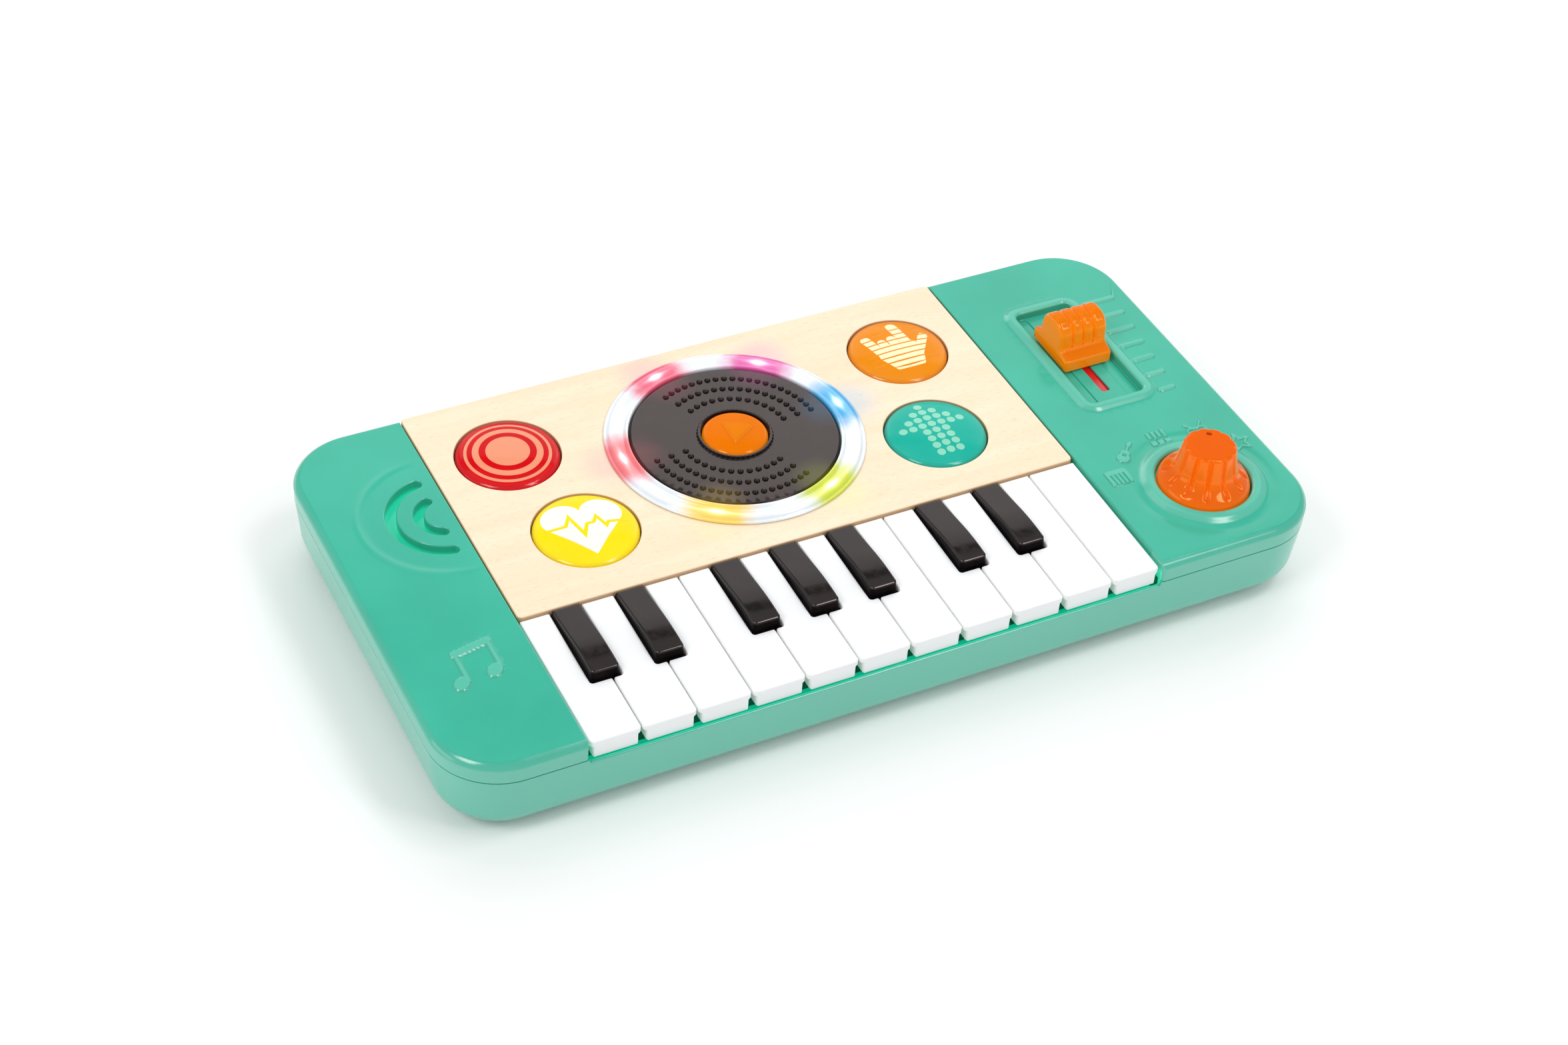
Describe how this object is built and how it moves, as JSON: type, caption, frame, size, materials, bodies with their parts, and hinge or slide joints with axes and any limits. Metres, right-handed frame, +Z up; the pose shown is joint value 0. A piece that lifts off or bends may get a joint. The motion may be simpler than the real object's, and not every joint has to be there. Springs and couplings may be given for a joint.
{
  "type": "toy electronic keyboard",
  "caption": "Toy keyboard with white and black keys, round push pads, a spinning record with a light ring, a slide fader and a turning selector in a rounded case.",
  "frame": {"origin": "centre of the footprint, on the surface that the rubber feet stand on", "axes": "+X along the keyboard from the low keys to the high keys, -Y towards the player, +Z up out of the keys"},
  "size_m": [0.31, 0.162, 0.0485],
  "materials": {
    "green_plastic": "satin moulded ABS",
    "plywood": "fine birch plywood, clear matt lacquer",
    "white_plastic": "polished",
    "black_plastic": "polished",
    "red_plastic": "polished, printed rings",
    "yellow_plastic": "polished, printed heart",
    "orange_gloss_plastic": "polished, printed hand sign",
    "teal_plastic": "polished, printed dotted arrow",
    "orange_plastic": "satin",
    "red_strip": "satin strip",
    "clear_plastic": "translucent, lit from below",
    "grey_plastic": "matt moulding",
    "rubber": "matt",
    "board": "lacquered circuit board",
    "steel": "bright zinc plate",
    "paper_cone": "pressed paper",
    "cell_wrap": "printed film"
  },
  "bodies": {
    "case": {"lower_case": "green_plastic", "upper_case": "green_plastic", "battery_door": "green_plastic", "wood_panel": "plywood", "light_ring": "clear_plastic", "key_frame": "grey_plastic", "record_base": "grey_plastic", "rotary_switch": "grey_plastic", "switch_body": "grey_plastic", "key_rod": "steel", "fader_track": "steel", "contact_front": "steel", "contact_back": "steel", "door_screw": "steel", "case_screw_1": "steel", "case_screw_2": "steel", "case_screw_3": "steel", "case_screw_4": "steel", "speaker_basket": "steel", "key_contacts": "rubber", "pad_switches": "rubber", "foot_1": "rubber", "foot_2": "rubber", "foot_3": "rubber", "foot_4": "rubber", "panel_board": "board", "main_board": "board", "speaker_cone": "paper_cone", "battery_1": "cell_wrap", "battery_2": "cell_wrap", "battery_3": "cell_wrap"},
    "white_key_01": {"white_key_01": "white_plastic"},
    "white_key_02": {"white_key_02": "white_plastic"},
    "white_key_03": {"white_key_03": "white_plastic"},
    "white_key_04": {"white_key_04": "white_plastic"},
    "white_key_05": {"white_key_05": "white_plastic"},
    "white_key_06": {"white_key_06": "white_plastic"},
    "white_key_07": {"white_key_07": "white_plastic"},
    "white_key_08": {"white_key_08": "white_plastic"},
    "white_key_09": {"white_key_09": "white_plastic"},
    "white_key_10": {"white_key_10": "white_plastic"},
    "white_key_11": {"white_key_11": "white_plastic"},
    "black_key_01": {"black_key_01": "black_plastic"},
    "black_key_02": {"black_key_02": "black_plastic"},
    "black_key_03": {"black_key_03": "black_plastic"},
    "black_key_04": {"black_key_04": "black_plastic"},
    "black_key_05": {"black_key_05": "black_plastic"},
    "black_key_06": {"black_key_06": "black_plastic"},
    "black_key_07": {"black_key_07": "black_plastic"},
    "pad_red": {"pad_red": "red_plastic"},
    "pad_yellow": {"pad_yellow": "yellow_plastic"},
    "pad_orange": {"pad_orange": "orange_gloss_plastic"},
    "pad_teal": {"pad_teal": "teal_plastic"},
    "record": {"record_disc": "black_plastic"},
    "play": {"play_button": "orange_plastic"},
    "fader": {"fader_cap": "orange_plastic", "fader_strip": "red_strip"},
    "selector": {"selector_knob": "orange_plastic", "selector_shaft": "steel"},
    "switch": {"power_switch": "black_plastic"}
  },
  "joints": [
    {"name": "white_key_01_press", "type": "hinge", "parent": "case", "child": "white_key_01", "pos_m": [-0.0116, -0.017, 0.0233], "axis": [1, 0, 0], "range_deg": [0, 2.7], "stiffness_Nm_per_rad": 0.9, "springref_deg": -1.15},
    {"name": "white_key_02_press", "type": "hinge", "parent": "case", "child": "white_key_02", "pos_m": [-0.0116, -0.017, 0.0233], "axis": [1, 0, 0], "range_deg": [0, 2.7], "stiffness_Nm_per_rad": 0.9, "springref_deg": -1.15},
    {"name": "white_key_03_press", "type": "hinge", "parent": "case", "child": "white_key_03", "pos_m": [-0.0116, -0.017, 0.0233], "axis": [1, 0, 0], "range_deg": [0, 2.7], "stiffness_Nm_per_rad": 0.9, "springref_deg": -1.15},
    {"name": "white_key_04_press", "type": "hinge", "parent": "case", "child": "white_key_04", "pos_m": [-0.0116, -0.017, 0.0233], "axis": [1, 0, 0], "range_deg": [0, 2.7], "stiffness_Nm_per_rad": 0.9, "springref_deg": -1.15},
    {"name": "white_key_05_press", "type": "hinge", "parent": "case", "child": "white_key_05", "pos_m": [-0.0116, -0.017, 0.0233], "axis": [1, 0, 0], "range_deg": [0, 2.7], "stiffness_Nm_per_rad": 0.9, "springref_deg": -1.15},
    {"name": "white_key_06_press", "type": "hinge", "parent": "case", "child": "white_key_06", "pos_m": [-0.0116, -0.017, 0.0233], "axis": [1, 0, 0], "range_deg": [0, 2.7], "stiffness_Nm_per_rad": 0.9, "springref_deg": -1.15},
    {"name": "white_key_07_press", "type": "hinge", "parent": "case", "child": "white_key_07", "pos_m": [-0.0116, -0.017, 0.0233], "axis": [1, 0, 0], "range_deg": [0, 2.7], "stiffness_Nm_per_rad": 0.9, "springref_deg": -1.15},
    {"name": "white_key_08_press", "type": "hinge", "parent": "case", "child": "white_key_08", "pos_m": [-0.0116, -0.017, 0.0233], "axis": [1, 0, 0], "range_deg": [0, 2.7], "stiffness_Nm_per_rad": 0.9, "springref_deg": -1.15},
    {"name": "white_key_09_press", "type": "hinge", "parent": "case", "child": "white_key_09", "pos_m": [-0.0116, -0.017, 0.0233], "axis": [1, 0, 0], "range_deg": [0, 2.7], "stiffness_Nm_per_rad": 0.9, "springref_deg": -1.15},
    {"name": "white_key_10_press", "type": "hinge", "parent": "case", "child": "white_key_10", "pos_m": [-0.0116, -0.017, 0.0233], "axis": [1, 0, 0], "range_deg": [0, 2.7], "stiffness_Nm_per_rad": 0.9, "springref_deg": -1.15},
    {"name": "white_key_11_press", "type": "hinge", "parent": "case", "child": "white_key_11", "pos_m": [-0.0116, -0.017, 0.0233], "axis": [1, 0, 0], "range_deg": [0, 2.7], "stiffness_Nm_per_rad": 0.9, "springref_deg": -1.15},
    {"name": "black_key_01_press", "type": "hinge", "parent": "case", "child": "black_key_01", "pos_m": [-0.0116, -0.017, 0.0233], "axis": [1, 0, 0], "range_deg": [0, 2.7], "stiffness_Nm_per_rad": 0.9, "springref_deg": -1.15},
    {"name": "black_key_02_press", "type": "hinge", "parent": "case", "child": "black_key_02", "pos_m": [-0.0116, -0.017, 0.0233], "axis": [1, 0, 0], "range_deg": [0, 2.7], "stiffness_Nm_per_rad": 0.9, "springref_deg": -1.15},
    {"name": "black_key_03_press", "type": "hinge", "parent": "case", "child": "black_key_03", "pos_m": [-0.0116, -0.017, 0.0233], "axis": [1, 0, 0], "range_deg": [0, 2.7], "stiffness_Nm_per_rad": 0.9, "springref_deg": -1.15},
    {"name": "black_key_04_press", "type": "hinge", "parent": "case", "child": "black_key_04", "pos_m": [-0.0116, -0.017, 0.0233], "axis": [1, 0, 0], "range_deg": [0, 2.7], "stiffness_Nm_per_rad": 0.9, "springref_deg": -1.15},
    {"name": "black_key_05_press", "type": "hinge", "parent": "case", "child": "black_key_05", "pos_m": [-0.0116, -0.017, 0.0233], "axis": [1, 0, 0], "range_deg": [0, 2.7], "stiffness_Nm_per_rad": 0.9, "springref_deg": -1.15},
    {"name": "black_key_06_press", "type": "hinge", "parent": "case", "child": "black_key_06", "pos_m": [-0.0116, -0.017, 0.0233], "axis": [1, 0, 0], "range_deg": [0, 2.7], "stiffness_Nm_per_rad": 0.9, "springref_deg": -1.15},
    {"name": "black_key_07_press", "type": "hinge", "parent": "case", "child": "black_key_07", "pos_m": [-0.0116, -0.017, 0.0233], "axis": [1, 0, 0], "range_deg": [0, 2.7], "stiffness_Nm_per_rad": 0.9, "springref_deg": -1.15},
    {"name": "pad_red_press", "type": "slide", "parent": "case", "child": "pad_red", "axis": [0, 0, -1], "range_m": [0, 0.0014], "stiffness_N_per_m": 700, "springref_m": -0.001},
    {"name": "pad_yellow_press", "type": "slide", "parent": "case", "child": "pad_yellow", "axis": [0, 0, -1], "range_m": [0, 0.0014], "stiffness_N_per_m": 700, "springref_m": -0.001},
    {"name": "pad_orange_press", "type": "slide", "parent": "case", "child": "pad_orange", "axis": [0, 0, -1], "range_m": [0, 0.0014], "stiffness_N_per_m": 700, "springref_m": -0.001},
    {"name": "pad_teal_press", "type": "slide", "parent": "case", "child": "pad_teal", "axis": [0, 0, -1], "range_m": [0, 0.0014], "stiffness_N_per_m": 700, "springref_m": -0.001},
    {"name": "play_press", "type": "slide", "parent": "case", "child": "play", "axis": [0, 0, -1], "range_m": [0, 0.0014], "stiffness_N_per_m": 600, "springref_m": -0.001},
    {"name": "record_spin", "type": "hinge", "parent": "case", "child": "record", "pos_m": [-0.0119, 0.0297, 0.0325], "axis": [0, 0, 1], "continuous": true},
    {"name": "fader_slide", "type": "slide", "parent": "case", "child": "fader", "axis": [0, 1, 0], "range_m": [-0.019, 0.0095]},
    {"name": "selector_turn", "type": "hinge", "parent": "case", "child": "selector", "pos_m": [0.1231, -0.0501, 0.0325], "axis": [0, 0, 1], "range_deg": [-31, 93]},
    {"name": "switch_slide", "type": "slide", "parent": "case", "child": "switch", "axis": [1, 0, 0], "range_m": [0, 0.005]}
  ]
}
